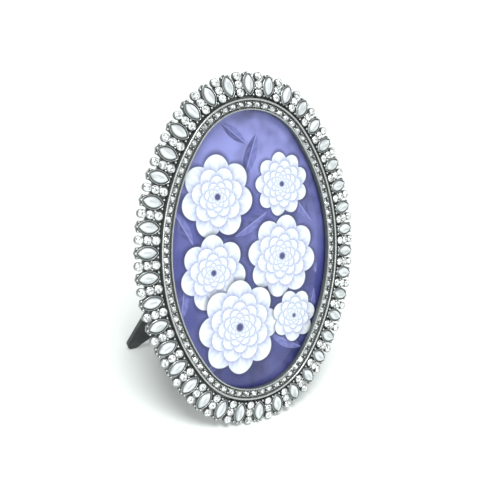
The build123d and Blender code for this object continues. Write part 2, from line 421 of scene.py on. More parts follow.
@dataclass(frozen=True)
class PearlLustre:
    """Satin white pearl, with painted shade that greys it toward its edge, and soft grey streaks along the
    stone.
    """

    body: Colour = shade(219, 223, 224)
    # Painted shade: the grey that the pearl turns toward its edge, beside the bezel.
    streak: Colour = shade(160, 168, 171)
    edge: Colour = shade(132, 139, 140)
    streak_scale: float = 300.0
    streak_stretch: Point = (1.0, 0.25, 1.0)
    streak_range: Pair = (0.46, 0.66)
    streak_share: float = 0.8
    line_place: float = 0.0003
    line_width: Pair = (0.0001, 0.0011)
    line_length: Pair = (0.001, 0.004)
    line_share: float = 0.75
    drift_scale: float = 260.0
    drift: float = 0.0016
    edge_shade_range: Pair = (0.3, 0.95)
    edge_shade_swing: float = 0.3
    roughness: float = 0.24
    cloud_roughness: float = 0.16
    relief: float = 0.00006
    coat: float = 0.25

    def material(self) -> bpy.types.Material:
        """Makes the pearl, which follows each stone's own length and the painted edge shade that its mesh
        carries.

        Returns:
            The material.
        """
        graph = Graph.of_material("pearl")
        where = graph.attribute("stone", "Vector")
        stretched = graph.vector("MULTIPLY", where, self.streak_stretch)
        streaks = graph.noise(stretched, self.streak_scale, 3.0)
        cloud = graph.noise(where, self.streak_scale / 2, 2.0)
        across, along = graph.axis(where, "X"), graph.axis(where, "Y")
        drift = graph.noise(where, self.drift_scale, 2.0).swing(self.drift)
        narrow = 1 - abs(across - self.line_place + drift).step(*self.line_width)
        line = narrow * (1 - abs(along).step(*self.line_length))
        # Grey streaks and a thin grey line along each stone.
        streak_mask = (streaks.step(*self.streak_range) * self.streak_share).at_least(line * self.line_share)
        white = graph.blend(streak_mask, self.body, self.streak)
        # On the pearls the mesh's patina values are painted shade, darkest at the dome's edge where the
        # bezel shades it.
        rim = graph.attribute("patina") + cloud.swing(self.edge_shade_swing)
        shader = graph.surface(
            base_color=graph.blend(rim.step(*self.edge_shade_range), white, self.edge),
            roughness=self.roughness + cloud * self.cloud_roughness,
            normal=graph.bump(streaks, self.relief, 0.3),
            coat_weight=self.coat,
            coat_roughness=0.15,
        )
        return graph.close(shader)


@dataclass(frozen=True)
class FoiledCrystal:
    """Clear cut crystal over its foil, with painted reflections: each facet is painted its own share of
    bright and grey.
    """

    bright: Colour = shade(244, 247, 247)
    grey: Colour = shade(92, 100, 99)
    flaw_scale: float = 3000.0
    roughness: float = 0.05
    metallic: float = 0.35
    coat: float = 0.6

    def material(self) -> bpy.types.Material:
        """Makes the crystal, whose colour follows the painted reflection tone that each facet carries.

        Returns:
            The material.
        """
        graph = Graph.of_material("crystal")
        flaw = graph.noise(graph.place(), self.flaw_scale, 1.0)
        shader = graph.surface(
            # Painted reflections: each facet's tone picks between a painted grey reflection and a painted
            # glint.
            base_color=graph.blend(graph.attribute("tone"), self.grey, self.bright),
            metallic=self.metallic,
            roughness=self.roughness + flaw * self.roughness,
            ior=1.54,
            coat_weight=self.coat,
            coat_roughness=0.02,
        )
        return graph.close(shader)


@dataclass(frozen=True)
class ClearGlass:
    """Thin float glass, clear but for what it reflects."""

    tint: Colour = shade(251, 253, 253)
    gloss_share: float = 0.3
    smear_scale: float = 60.0

    def material(self) -> bpy.types.Material:
        """Makes the glass.

        Returns:
            The material.
        """
        graph = Graph.of_material("clear_glass")
        fresnel = graph.node("ShaderNodeFresnel", None, {"IOR": 1.45})
        smear = graph.noise(graph.place(), self.smear_scale)
        clear = graph.node("ShaderNodeBsdfTransparent", None, {"Color": self.tint})
        gloss = graph.surface(
            base_color=self.tint,
            metallic=1.0,
            roughness=0.02 + smear * 0.04,
            normal=graph.bump(smear, 0.00001, 0.1, flat=True),
        )
        return graph.close(graph.mix_shaders(fresnel * self.gloss_share, clear, gloss))


@dataclass(frozen=True)
class Blossom:
    """One full blossom of the printed picture, in millimetres from the picture's middle."""

    across: float
    up: float
    reach: float
    petals: int
    turn: float
    shrink: float = 0.7


@dataclass(frozen=True)
class Leaf:
    """One pointed leaf of the printed picture, in millimetres from the picture's middle."""

    across: float
    up: float
    length: float
    width: float
    turn: float


@dataclass(frozen=True)
class PrintedPicture:
    """A generic duotone print: full white blossoms and leaves on a soft indigo ground."""

    ground: Colour = shade(74, 76, 148)
    ground_light: Colour = shade(156, 156, 220)
    ground_dark: Colour = shade(30, 30, 82)
    leaf: Colour = shade(128, 130, 196)
    leaf_dark: Colour = shade(58, 58, 112)
    petal: Colour = shade(254, 254, 255)
    petal_shade: Colour = shade(122, 124, 192)
    heart: Colour = shade(70, 70, 124)
    petal_roundness: float = 0.7
    petal_wave: float = 0.34
    petal_edge: Pair = (0.0, 0.03)
    gap_sharpness: float = 4.0
    gap_shade: float = 0.75
    fold_shade: float = 0.8
    vein_count: float = 10.0
    vein_shade: float = 0.05
    heart_range: Pair = (0.1, 0.2)
    cast_range: Pair = (-0.22, 0.02)
    cast_shade: float = 0.75
    leaf_edge: Pair = (0.0, 0.12)
    leaf_fold: Pair = (-0.06, 0.06)
    midrib: Pair = (0.03, 0.1)
    rib_lean: float = 5.0
    rib_count: float = 14.0
    rib_shade: float = 0.12
    soft_scale: float = 26.0
    blur_scale: float = 60.0
    grain_scale: float = 2500.0
    light_climb: Pair = (15.0, 62.0)
    dark_climb: Pair = (-75.0, 5.0)
    leaves: tuple[Leaf, ...] = (
        Leaf(2, 50, 26, 8, 1.2),
        Leaf(34, 22, 24, 8, -0.9),
        Leaf(-40, 16, 22, 7, 2.1),
        Leaf(1, 14, 24, 8, 0.5),
        Leaf(-42, -22, 20, 7, 1.4),
        Leaf(41, -8, 20, 7, 1.9),
        Leaf(22, -52, 24, 8, -0.5),
        Leaf(-24, -56, 22, 8, 0.6),
        Leaf(-8, 62, 20, 6, 2.5),
        Leaf(40, -34, 18, 6, 1.3),
    )
    blossoms: tuple[Blossom, ...] = (
        Blossom(22, 34, 10, 9, 0.4, 0.72),
        Blossom(-19, 30, 12, 7, 1.1),
        Blossom(21, -5, 13, 8, 0.2, 0.72),
        Blossom(-23, -9, 11, 7, 2.0),
        Blossom(-8, -40, 15, 8, 0.8, 0.73),
        Blossom(28, -39, 8, 7, 1.7),
    )

    def flower(self, graph: Graph, across: Term, up: Term, blossom: Blossom, below: Term) -> Term:
        """Prints one blossom, whose rings of petals shrink toward its heart, over what lies below it.

        Args:
            graph: the picture's graph.
            across, up: the place in the picture, in millimetres.
            blossom: the blossom's place and size.
            below: the colour under it.

        Returns:
            The colour with the blossom on it.
        """
        right, height = across - blossom.across, up - blossom.up
        away = ((right * right + height * height) ** 0.5 / blossom.reach).at_least(0.02)
        inward = away.math("LOGARITHM", blossom.shrink) * 0.5
        around = (height.math("ARCTAN2", right) + blossom.turn) * (blossom.petals / 2)
        waves = [abs((around + shift).sine()) ** self.petal_roundness for shift in (0.0, math.pi / 2)]
        rings = [inward + wave * self.petal_wave + shift for wave, shift in zip(waves, (0.0, 0.5))]
        under = rings[0].math("FRACT").at_least(rings[1].math("FRACT"))
        fold = (1 - waves[0]) * (1 - waves[1]) * 0.5
        vein = (around * self.vein_count).sine() * self.vein_shade
        dark = (under ** self.gap_sharpness * self.gap_shade + fold * self.fold_shade + vein).held()
        tone = graph.blend(dark, self.petal, self.petal_shade)
        tone = graph.blend(1 - away.step(*self.heart_range), tone, self.heart)
        cast = rings[1].step(*self.cast_range)
        shadowed = graph.blend(cast * self.cast_shade, below, self.ground_dark)
        return graph.blend(rings[1].step(*self.petal_edge), shadowed, tone)

    def frond(self, graph: Graph, across: Term, up: Term, leaf: Leaf, below: Term) -> Term:
        """Prints one leaf with its middle vein over what lies below it.

        Args:
            graph: the picture's graph.
            across, up: the place in the picture, in millimetres.
            leaf: the leaf's place and size.
            below: the colour under it.

        Returns:
            The colour with the leaf on it.
        """
        cosine, sine = math.cos(leaf.turn), math.sin(leaf.turn)
        right, height = across - leaf.across, up - leaf.up
        along = (right * cosine + height * sine) * (2 / leaf.length)
        aside = (height * cosine - right * sine) * (2 / leaf.width)
        room = 1 - along * along - abs(aside)
        ribs = (aside * self.rib_lean + abs(along) * self.rib_count).sine() * self.rib_shade
        side = aside.step(*self.leaf_fold) * 0.5 + ribs + 0.2
        tone = graph.blend(side.held(), self.leaf, self.leaf_dark)
        tone = graph.blend(1 - abs(aside).step(*self.midrib), tone, self.ground_light)
        return graph.blend(room.step(*self.leaf_edge), below, tone)

    def material(self, stand: "Stand") -> bpy.types.Material:
        """Makes the print.

        Args:
            stand: where the upright frame's own directions lie in the model.

        Returns:
            The material with the picture.
        """
        graph = Graph.of_material("printed_paper")
        where = graph.place()
        middle = graph.vector("SUBTRACT", where, stand.origin)
        across, up = (
            graph.vector("DOT_PRODUCT", middle, direction, "Value") * (1 / MM)
            for direction in (RIGHT, stand.up)
        )
        soft = graph.noise(where, self.soft_scale, 2.0)
        blur = graph.noise(where, self.blur_scale, 2.0)
        light = soft.step(0.4, 0.66) * 0.4 + up.step(*self.light_climb) * 0.75
        colour = graph.blend(light.at_most(1.0), self.ground, self.ground_light)
        dark = blur.step(0.45, 0.72) * 0.5 + (1 - up.step(*self.dark_climb)) * 0.35
        colour = graph.blend(dark.at_most(1.0), colour, self.ground_dark)
        for leaf in self.leaves:
            colour = self.frond(graph, across, up, leaf, colour)
        for blossom in self.blossoms:
            colour = self.flower(graph, across, up, blossom, colour)
        grain = graph.noise(where, self.grain_scale, 1.0)
        normal = graph.bump(grain, 0.00002, 0.2, flat=True)
        return graph.close(graph.surface(base_color=colour, roughness=0.34 + grain * 0.1, normal=normal))


@dataclass(frozen=True)
class Velvet:
    """Black flocked velvet with a soft sheen and brushed patches."""

    pile: Colour = shade(44, 47, 48)
    brushed: Colour = shade(72, 77, 78)
    patch_scale: float = 90.0
    pile_scale: float = 4200.0
    roughness: float = 0.86
    relief: float = 0.0003
    sheen: float = 0.35

    def material(self) -> bpy.types.Material:
        """Makes the velvet.

        Returns:
            The material.
        """
        graph = Graph.of_material("velvet_board")
        where = graph.place()
        patches = graph.noise(where, self.patch_scale, 4.0)
        pile = graph.noise(where, self.pile_scale, 2.0, 0.7)
        shader = graph.surface(
            base_color=graph.blend(patches.step(0.4, 0.68) * 0.6 + pile * 0.25, self.pile, self.brushed),
            roughness=self.roughness + pile * 0.1,
            normal=graph.bump(pile, self.relief, 0.7),
            sheen_weight=self.sheen,
            sheen_roughness=0.4,
        )
        return graph.close(shader)


@dataclass(frozen=True)
class PlatedSteel:
    """Nickel-plated sheet steel, brushed along X and lightly scratched."""

    clean: Colour = shade(196, 196, 192)
    worn: Colour = shade(150, 148, 143)
    brush_scale: float = 5200.0
    brush_stretch: Point = (0.06, 1.0, 1.0)
    cloud_scale: float = 160.0
    roughness: float = 0.26
    metallic: float = 0.95
    relief: float = 0.00003

    def material(self) -> bpy.types.Material:
        """Makes the plated steel.

        Returns:
            The material.
        """
        graph = Graph.of_material("plated_steel")
        where = graph.place()
        brush = graph.noise(graph.vector("MULTIPLY", where, self.brush_stretch), self.brush_scale, 2.0)
        cloud = graph.noise(where, self.cloud_scale, 4.0)
        wear = cloud.step(0.42, 0.75) * 0.7 + brush.swing(0.3)
        shader = graph.surface(
            base_color=graph.blend(wear, self.clean, self.worn),
            metallic=self.metallic,
            roughness=self.roughness + brush * 0.16 + cloud * 0.08,
            normal=graph.bump(brush, self.relief, 0.4),
        )
        return graph.close(shader)


@dataclass(frozen=True)
class StudioFloor:
    """The pale floor, lifted to white for what the camera sees of it unshaded."""

    paper: Colour = (0.88, 0.94, 0.91, 1.0)
    lift: float = 0.12

    def material(self) -> bpy.types.Material:
        """Makes the floor's finish.

        Returns:
            The material.
        """
        graph = Graph.of_material("studio_floor")
        paper = graph.node("ShaderNodeBsdfDiffuse", None, {"Color": self.paper})
        white = graph.node("ShaderNodeEmission", None, {"Color": WHITE, "Strength": self.lift})
        dark = graph.node("ShaderNodeEmission", None, {"Strength": 0.0})
        lifted = graph.mix_shaders(graph.seen(), dark, white)
        return graph.close(graph.node("ShaderNodeAddShader", None, {0: paper, 1: lifted}))


# Geometry


@dataclass(frozen=True)
class Stand:
    """Where the upright frame's own directions lie in the leaning model, in metres."""

    origin: Vector
    up: Vector
    back: Vector

    @classmethod
    def from_swivel(cls, joint: dict, reach: float, depth: float) -> "Stand":
        """Works the lean and the oval's middle out of a turn button's joint.

        Args:
            joint: the swivel's joint, whose axis points to the back.
            reach: how far the swivel stands to the right of the oval's middle, in millimetres.
            depth: how far behind the ring's front it lies, in millimetres.

        Returns:
            The stand.
        """
        back = Vector(joint["axis"]).normalized()
        up = back.cross(RIGHT).normalized() * -1
        origin = Vector(joint["pos_m"]) - Vector((reach * MM, 0, 0)) - back * depth * MM
        return cls(origin, up, back)

    def direction(self, across: float, depth: float, up: float) -> Vector:
        """A direction of the upright frame, in the model."""
        return RIGHT * across + self.back * depth + self.up * up

    def point(self, across: float, depth: float, up: float) -> Vector:
        """A place in the model, from millimetres of the upright frame."""
        return self.origin + self.direction(across, depth, up) * MM


@dataclass(frozen=True)
class Station:
    """A place on an oval and the direction that points outward there."""

    across: float
    up: float
    turn: float

    def at(self, right: float, outward: float, depth: float) -> Point:
        """A point beside the station.

        Args:
            right: the distance to its right along the oval, in millimetres.
            outward: the distance outward from the oval.
            depth: the depth behind the ring's front.

        Returns:
            The point as (across, depth, up) of the upright frame.
        """
        sine, cosine = math.sin(self.turn), math.cos(self.turn)
        across = self.across + right * cosine + outward * sine
        up = self.up + outward * cosine - right * sine
        return (across, depth, up)


@dataclass(frozen=True)
class Oval:
    """The opening's oval of four arcs, and the ovals at an offset outside it."""

    width: float = 98.8
    height: float = 147.0
    end_radius: float = 37.0

    def arcs(self, offset: float) -> list[tuple[float, float, float, float, float]]:
        """The arcs of an offset oval, clockwise from its top.

        Args:
            offset: how far outside the opening's edge, in millimetres.

        Returns:
            (radius, centre across, centre up, first turn, last turn) of each arc.
        """
        end_centre = self.height / 2 - self.end_radius
        fall = self.width / 2 - self.end_radius
        side_centre = (end_centre**2 - fall**2) / (2 * fall)
        join = math.atan2(side_centre, end_centre)
        end, side = self.end_radius + offset, side_centre + self.width / 2 + offset
        return [
            (end, 0, end_centre, 0, join),
            (side, -side_centre, 0, join, math.pi - join),
            (end, 0, -end_centre, math.pi - join, math.pi + join),
            (side, side_centre, 0, math.pi + join, 2 * math.pi - join),
            (end, 0, end_centre, 2 * math.pi - join, 2 * math.pi),
        ]

    def length(self, offset: float) -> float:
        """The length of an offset oval."""
        return sum(radius * (last - first) for radius, _, _, first, last in self.arcs(offset))

    def stations(self, offset: float, count: int, phase: float = 0.0) -> list[Station]:
        """Places at equal steps along an offset oval.

        Args:
            offset: how far outside the opening's edge, in millimetres.
            count: how many places.
            phase: where the first one lies past the top, in steps.

        Returns:
            The stations, clockwise from the top.
        """
        step = self.length(offset) / count
        run = 0.0
        found: list[Station] = []
        for radius, across, up, first, last in self.arcs(offset):
            run_after = run + radius * (last - first)
            while len(found) < count and (len(found) + phase) * step < run_after:
                turn = first + ((len(found) + phase) * step - run) / radius
                place = (across + radius * math.sin(turn), up + radius * math.cos(turn))
                found.append(Station(*place, turn))
            run = run_after
        return found


@dataclass
class Blank:
    """The points and faces of one piece while it is being made, in the upright frame's millimetres."""

    points: list[Point] = field(default_factory=list)
    faces: list[tuple[int, ...]] = field(default_factory=list)
    patina: list[float] = field(default_factory=list)
    stone: list[Point] = field(default_factory=list)
    glint_tones: list[float] = field(default_factory=list)

    def add(
        self,
        points: Iterable[Point],
        faces: Iterable[Sequence[int]],
        patina: Iterable[float] = (),
        glint_tones: Iterable[float] = (),
    ) -> None:
        """Adds a closed form.

        Args:
            points: its corners.
            faces: its faces, as numbers of its own corners.
            patina: how dark each corner is, from 0 to 1: patina on the silver, painted shade on the pearls.
            glint_tones: the painted reflection on each face, how bright it is, from 0 to 1.
        """
        start = len(self.points)
        self.points.extend(points)
        self.faces.extend(tuple(start + corner for corner in face) for face in faces)
        self.patina.extend(patina)
        self.glint_tones.extend(glint_tones)

    def tube(self, sections: Sequence[Sequence[Point]], patina: Sequence[float], ends: bool) -> None:
        """Adds a skin over closed sections of equal point counts.

        Args:
            sections: the sections, in order.
            patina: the darkness of each section, or of each point of a section where ends is False.
            ends: True closes the first and last section, False joins the last section to the first.
        """
        rows, count = len(sections), len(sections[0])
        faces = []
        for row in range(rows - 1 if ends else rows):
            near, far = row * count, (row + 1) % rows * count
            for i in range(count):
                after = (i + 1) % count
                faces.append((near + i, near + after, far + after, far + i))
        if ends:
            faces.append(tuple(range(count))[::-1])
            faces.append(tuple((rows - 1) * count + i for i in range(count)))
            dark = [value for value in patina for _ in range(count)]
        else:
            dark = list(patina) * rows
        self.add([point for section in sections for point in section], faces, dark)

    def turned(self, place: Place, rows: Sequence[Point], count: int, middle: Pair = (0.0, 0.0)) -> None:
        """Adds a turned form.

        Args:
            place: turns (right, outward, level) into a point of the upright frame.
            rows: (radius, level, patina) of its profile, from one end to the other.
            count: how many points go round it.
            middle: (right, outward) of its axis.
        """
        right, outward = middle
        sections = [
            [place(right + aside, outward + away, level) for aside, away in circle(radius, count)]
            for radius, level, _ in rows
        ]
        self.tube(sections, [dark for _, _, dark in rows], ends=True)

    def mesh(self, name: str, stand: Stand) -> bpy.types.Mesh:
        """Makes the mesh in the model's metres, with no point under the table.

        Args:
            name: the mesh's name.
            stand: where the upright frame stands in the model.

        Returns:
            The mesh.
        """
        mesh = bpy.data.meshes.new(name)
        points = [stand.point(*point) for point in self.points]
        for point in points:
            point.z = max(point.z, 0.0)
        mesh.from_pydata(points, [], self.faces)
        return mesh

    def tool(self, name: str, stand: Stand) -> bpy.types.Object:
        """Makes a cutter, which is no piece.

        Args:
            name: the cutter's name.
            stand: where the upright frame stands in the model.

        Returns:
            The cutter.
        """
        mesh = self.mesh(name, stand)
        face_outward(mesh)
        cutter = bpy.data.objects.new(name, mesh)
        bpy.context.scene.collection.objects.link(cutter)
        return cutter

    def object(
        self,
        name: str,
        stand: Stand,
        material: bpy.types.Material,
        body: Body,
        slot: Slot,
        replaced: Sequence[str] = (),
        smooth: float = 40.0,
    ) -> bpy.types.Object:
        """Makes the piece.

        Args:
            name: the piece's name.
            stand: where the upright frame stands in the model.
            material: its finish.
            body: the body that it rides on.
            slot: the record's slot, passed on to dress.
            replaced: the nodes that it stands for.
            smooth: the angle in degrees up to which faces shade as one, or 0 for flat facets.

        Returns:
            The piece.
        """
        mesh = self.mesh(name, stand)
        # Patina values are patina on the silver and painted shade on the pearls; tone values are painted
        # reflections.
        for key, values, domain in (("patina", self.patina, "POINT"), ("tone", self.glint_tones, "FACE")):
            if values:
                mesh.attributes.new(key, "FLOAT", domain).data.foreach_set("value", values)
        if self.stone:
            flat = [value for place in self.stone for value in place]
            mesh.attributes.new("stone", "FLOAT_VECTOR", "POINT").data.foreach_set("vector", flat)
        return dress(mesh, name, material, body, slot, replaced, smooth)


def face_outward(mesh: bpy.types.Mesh) -> None:
    """Turns every face of a closed mesh outward.

    Args:
        mesh: the mesh.
    """
    work = bmesh.new()
    work.from_mesh(mesh)
    bmesh.ops.recalc_face_normals(work, faces=work.faces)
    work.to_mesh(mesh)
    work.free()


def soften(mesh: bpy.types.Mesh, smooth: float) -> None:
    """Shades faces as one up to an angle in degrees."""
    mesh.shade_smooth()
    mesh.set_sharp_from_angle(angle=math.radians(smooth))


def dress(
    mesh: bpy.types.Mesh,
    name: str,
    material: bpy.types.Material,
    body: Body,
    slot: Slot,
    replaced: Sequence[str],
    smooth: float,
) -> bpy.types.Object:
    """Turns a mesh in the model's metres into a piece that rides on a body.

    Args:
        mesh: the mesh.
        name: the piece's name.
        material: its finish.
        body: the body that it rides on.
        slot: the record's slot; not used.
        replaced: the nodes that it stands for.
        smooth: the angle in degrees up to which faces shade as one, or 0 for flat facets.

    Returns:
        The piece.
    """
    face_outward(mesh)
    if smooth:
        soften(mesh, smooth)
    piece = bpy.data.objects.new(name, mesh)
    bpy.context.scene.collection.objects.link(piece)
    piece.data.materials.append(material)
    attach(piece, body.value)
    if replaced:
        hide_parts(*replaced)
    logging.info("%s: %d faces on %s", name, len(mesh.polygons), body.value)
    return piece


# Sub-assemblies of the casting


@dataclass(frozen=True)
class InnerRing:
    """The raised ring round the opening: two rims, the channel between them and the rabbet wall behind."""

    oval: Oval
    width: float = 6.0
    inner_rim: float = 0.8
    outer_rim: float = 1.1
    rim_wall: float = 1.0
    rim_foot: float = 0.9
    channel_depth: float = 2.0
    channel_corner: float = 0.3
    channel_lift: float = 0.25
    ledge_depth: float = 3.2
    ledge_corner: float = 0.3
    ledge_lift: float = 0.2
    rabbet_offset: float = 3.6
    wall_width: float = 3.0
    wall_back: float = 9.6
    wall_round: float = 0.5
    wall_break: float = 0.15
    web_middle: float = 4.2
    samples: int = 480
    boss_radius: float = 3.4
    boss_line: float = 6.2
    boss_shelf: float = 1.2
    boss_round: float = 0.4
    boss_sunk: float = 0.02
    boss_points: int = 40
    rim_rows: tuple[Point, ...] = (
        (0.0, 0.8, 0.6), (0.04, 0.45, 0.3), (0.14, 0.15, 0.05), (0.3, 0.02, 0.0),
        (0.7, 0.02, 0.0), (0.86, 0.15, 0.05), (0.96, 0.45, 0.3), (1.0, 0.8, 0.6),
    )

    def rim(self, near: float, far: float, foot: float) -> list[Point]:
        """The rounded section of one rim.

        Args:
            near, far: the offsets of its two faces, in the order that the section runs.
            foot: the depth of the far face's foot.

        Returns:
            (offset, depth, patina) points.
        """
        points = [(near + share * (far - near), depth, dark) for share, depth, dark in self.rim_rows]
        return [*points, (far, foot, 0.8)]

    def section(self) -> list[Point]:
        """The whole ring's section.

        Returns:
            (offset, depth, patina) points, from the opening's edge outward and back behind the ring.
        """
        start, end = self.inner_rim, self.width - self.outer_rim
        floor, corner = self.channel_depth, self.channel_corner
        lifted = floor - self.channel_lift
        near, far = self.rabbet_offset, self.rabbet_offset + self.wall_width
        back, bend, bevel = self.wall_back, self.wall_round, self.wall_break
        return [
            *self.rim(0.0, start, lifted),
            (start + corner, floor, 0.9),
            (end - corner, floor, 0.9),
            (end, lifted, 0.8),
            (end, self.rim_wall, 0.6),
            *self.rim(end, self.width, self.web_middle - self.rim_foot),
            (self.width, self.web_middle, 0.6),
            (far, self.web_middle + 0.1, 0.8),
            (far, back - bend, 0.45),
            (far - bevel, back - bevel, 0.2),
            (far - bend, back, 0.3),
            (near + bend, back, 0.3),
            (near + bevel, back - bevel, 0.2),
            (near, back - bend, 0.6),
            (near, self.ledge_depth, 0.9),
            (self.ledge_corner, self.ledge_depth, 0.9),
            (0.0, self.ledge_depth - self.ledge_lift, 1.0),
        ]

    def boss(self, blank: Blank, station: Station) -> None:
        """Adds a screw boss to the rabbet wall, flat where it would stand in the rabbet.

        Args:
            blank: the piece that it is part of.
            station: its middle.
        """
        def place(right: float, outward: float, depth: float) -> Point:
            """A point of the boss, no nearer to the opening than its shelf."""
            return station.at(right, max(outward, shelf), depth)

        shelf = self.rabbet_offset + self.boss_shelf - self.boss_line
        radius, shoulder = self.boss_radius, self.wall_back - self.boss_round
        rows = (
            (radius, self.web_middle - self.boss_sunk, 0.9),
            (radius, shoulder - self.boss_sunk, 0.35),
            (radius - self.boss_round, self.wall_back - self.boss_sunk, 0.2),
        )
        blank.turned(place, rows, self.boss_points)

    def build(self, stand: Stand, silver: bpy.types.Material) -> list[bpy.types.Object]:
        """Makes the ring with its rabbet wall, and the two screw bosses on the wall.

        Args:
            stand: where the upright frame stands in the model.
            silver: the casting's finish.

        Returns:
            The pieces.
        """
        section = self.section()
        ring, bosses = Blank(), Blank()
        rows = [
            [station.at(0.0, offset, depth) for offset, depth, _ in section]
            for station in self.oval.stations(0.0, self.samples)
        ]
        ring.tube(rows, [dark for _, _, dark in section], ends=False)
        for station in self.oval.stations(self.boss_line, 2, 0.5):
            self.boss(bosses, station)
        return [
            blank.object(name, stand, silver, Body.FRAME, Slot.SILVER, ("cast_frame",))
            for name, blank in (("ring_and_rabbet_wall", ring), ("screw_bosses", bosses))
        ]


@dataclass(frozen=True)
class Border:
    """The openwork border: a web with marquise bezels, radial rows of round cups and small beads.

    Rows are (inset, rise, patina), and beads (right, inset from the bezel's tip, rise).
    The lobes are one half of each scallop, as (right, outward from its tip).
    """

    oval: Oval
    line: float = 13.15
    count: int = 38
    datum: float = 2.4
    fall: float = math.radians(9.0)
    bezel_length: float = 12.2
    bezel_width: float = 7.4
    bezel_points: int = 14
    cup_radius: float = 2.2
    cup_spacing: float = 4.3
    cup_points: int = 28
    web_front: float = 3.554
    web_back: float = 4.854
    web_bevel: float = 0.2
    ring_offset: float = 5.5
    web_feet: int = 456
    bead_radius: float = 0.66
    bead_points: int = 14
    small_bead_radius: float = 0.62
    bead_neck: float = 0.2
    corner_bead_spread: float = 1.95
    corner_bead_rise: float = 0.75
    corner_bead_points: int = 12
    smooth: float = 40.0
    web_smooth: float = 18.0
    bezel_rows: tuple[Point, ...] = (
        (0.0, 0.3, 0.6), (0.06, 0.72, 0.4), (0.16, 0.93, 0.2), (0.28, 1.0, 0.05), (0.4, 0.95, 0.05),
        (0.5, 0.75, 0.5), (0.56, 0.35, 0.9), (0.66, 0.12, 1.0), (1.0, 0.1, 1.0),
    )
    cup_rows: tuple[Point, ...] = (
        (0.0, 0.35, 0.5), (0.0, 0.75, 0.3), (0.06, 0.98, 0.1), (0.16, 1.04, 0.1),
        (0.26, 1.0, 0.3), (0.34, 0.8, 0.9), (0.5, 0.76, 1.0),
    )
    bead_bands: tuple[Pair, ...] = ((0, 0.4), (25, 0.2), (48, 0.05), (68, 0.0), (84, 0.0))
    outer_beads: tuple[Point, ...] = ((0.0, 0.4, 0.5), (2.25, 1.0, 0.3), (-2.25, 1.0, 0.3))
    inner_beads: tuple[Point, ...] = ((2.2, 0.55, 0.6), (-2.2, 0.55, 0.6))
    bezel_lobe: tuple[Pair, ...] = (
        (-3.2, -4.3), (-2.85, -2.9), (-2.75, -1.4), (-2.2, -0.55), (-1.2, -0.2), (-0.75, 0.1), (0.0, 0.4),
    )
    row_lobe: tuple[Pair, ...] = (
        (-1.5, -4.6), (-1.8, -3.5), (-2.1, -2.4), (-1.85, -1.1), (-1.1, -0.35), (0.0, -0.1),
    )

    def bezel_stations(self) -> list[Station]:
        """The middles of the bezels."""
        return self.oval.stations(self.line, self.count)

    def row_stations(self) -> list[Station]:
        """The middles of the rows of cups, half way between the bezels."""
        return self.oval.stations(self.line, self.count, 0.5)

    def local(self, station: Station, right: float, along: float, rise: float) -> Point:
        """A point of the border, in the frame of one of its stations.

        Args:
            station: the station.
            right: the distance to its right along the border.
            along: the distance outward over the falling surface.
            rise: the height above that surface.

        Returns:
            The point as (across, depth, up) of the upright frame.
        """
        sine, cosine = math.sin(self.fall), math.cos(self.fall)
        outward = along * cosine + rise * sine
        return station.at(right, outward, self.datum + along * sine - rise * cosine)

    def root(self, along: float) -> float:
        """The height, below the surface, of the web's middle."""
        middle = (self.web_front + self.web_back) / 2
        return -(middle - self.datum - along * math.sin(self.fall)) / math.cos(self.fall)

    def marquise(self, inset: float) -> list[Pair]:
        """A pointed oval inside the bezel's outline.

        Args:
            inset: how far inside, in millimetres.

        Returns:
            (right, along) points, round the outline.
        """
        radius = ((self.bezel_length / 2) ** 2 + (self.bezel_width / 2) ** 2) / self.bezel_width
        centre = radius - self.bezel_width / 2
        half = math.acos(min(centre / (radius - inset), 1.0))
        turns = [half * (2 * i / self.bezel_points - 1) for i in range(self.bezel_points)]
        reach = radius - inset
        side = [(reach * math.cos(turn) - centre, reach * math.sin(turn)) for turn in turns]
        return side + [(-right, -along) for right, along in side]

    def bezels(self) -> Blank:
        """The raised cups that hold the pearls.

        Returns:
            All bezels.
        """
        blank = Blank()
        for station in self.bezel_stations():
            outline = self.marquise(0.0)
            rows = [[self.local(station, right, along, self.root(along)) for right, along in outline]]
            for inset, rise, _ in self.bezel_rows:
                outline = self.marquise(inset)
                rows.append([self.local(station, right, along, rise) for right, along in outline])
            blank.tube(rows, [1.0, *[dark for _, _, dark in self.bezel_rows]], ends=True)
        return blank

    def turned(
        self, blank: Blank, station: Station, middle: Pair, rows: Sequence[Point], count: int,
    ) -> None:
        """Adds a turned form that is rooted in the web.

        Args:
            blank: the piece that it is part of.
            station: the station that it belongs to.
            middle: (right, along) of its axis, in the station's frame.
            rows: (radius, rise, patina) of its profile, from the bottom up.
            count: how many points go round it.
        """
        def place(right: float, along: float, rise: float) -> Point:
            """A point in the frame of the station."""
            return self.local(station, right, along, rise)

        root = (rows[0][0], self.root(middle[1]), 1.0)
        blank.turned(place, [root, *rows], count, middle)

    def cups(self) -> Blank:
        """The round cups of every radial row, each with a thin lip round its stone.

        Returns:
            All cups.
        """
        blank = Blank()
        rows = [(self.cup_radius - inset, rise, dark) for inset, rise, dark in self.cup_rows]
        for station in self.row_stations():
            for step in (-1, 0, 1):
                self.turned(blank, station, (0.0, step * self.cup_spacing), rows, self.cup_points)
        return blank

    def bead(
        self, blank: Blank, station: Station, middle: Pair, radius: float, rise: float, count: int,
    ) -> None:
        """Adds a bead with a short neck and a round top.

        Args:
            blank: the piece that it is part of.
            station: the station that it belongs to.
            middle: (right, along) of its middle, in the station's frame.
            radius: the bead's radius.
            rise: the height of its middle.
            count: how many points go round it.
        """
        rows = [(radius, rise - self.bead_neck, 0.5), *dome(radius, rise, self.bead_bands)]
        self.turned(blank, station, middle, rows, count)

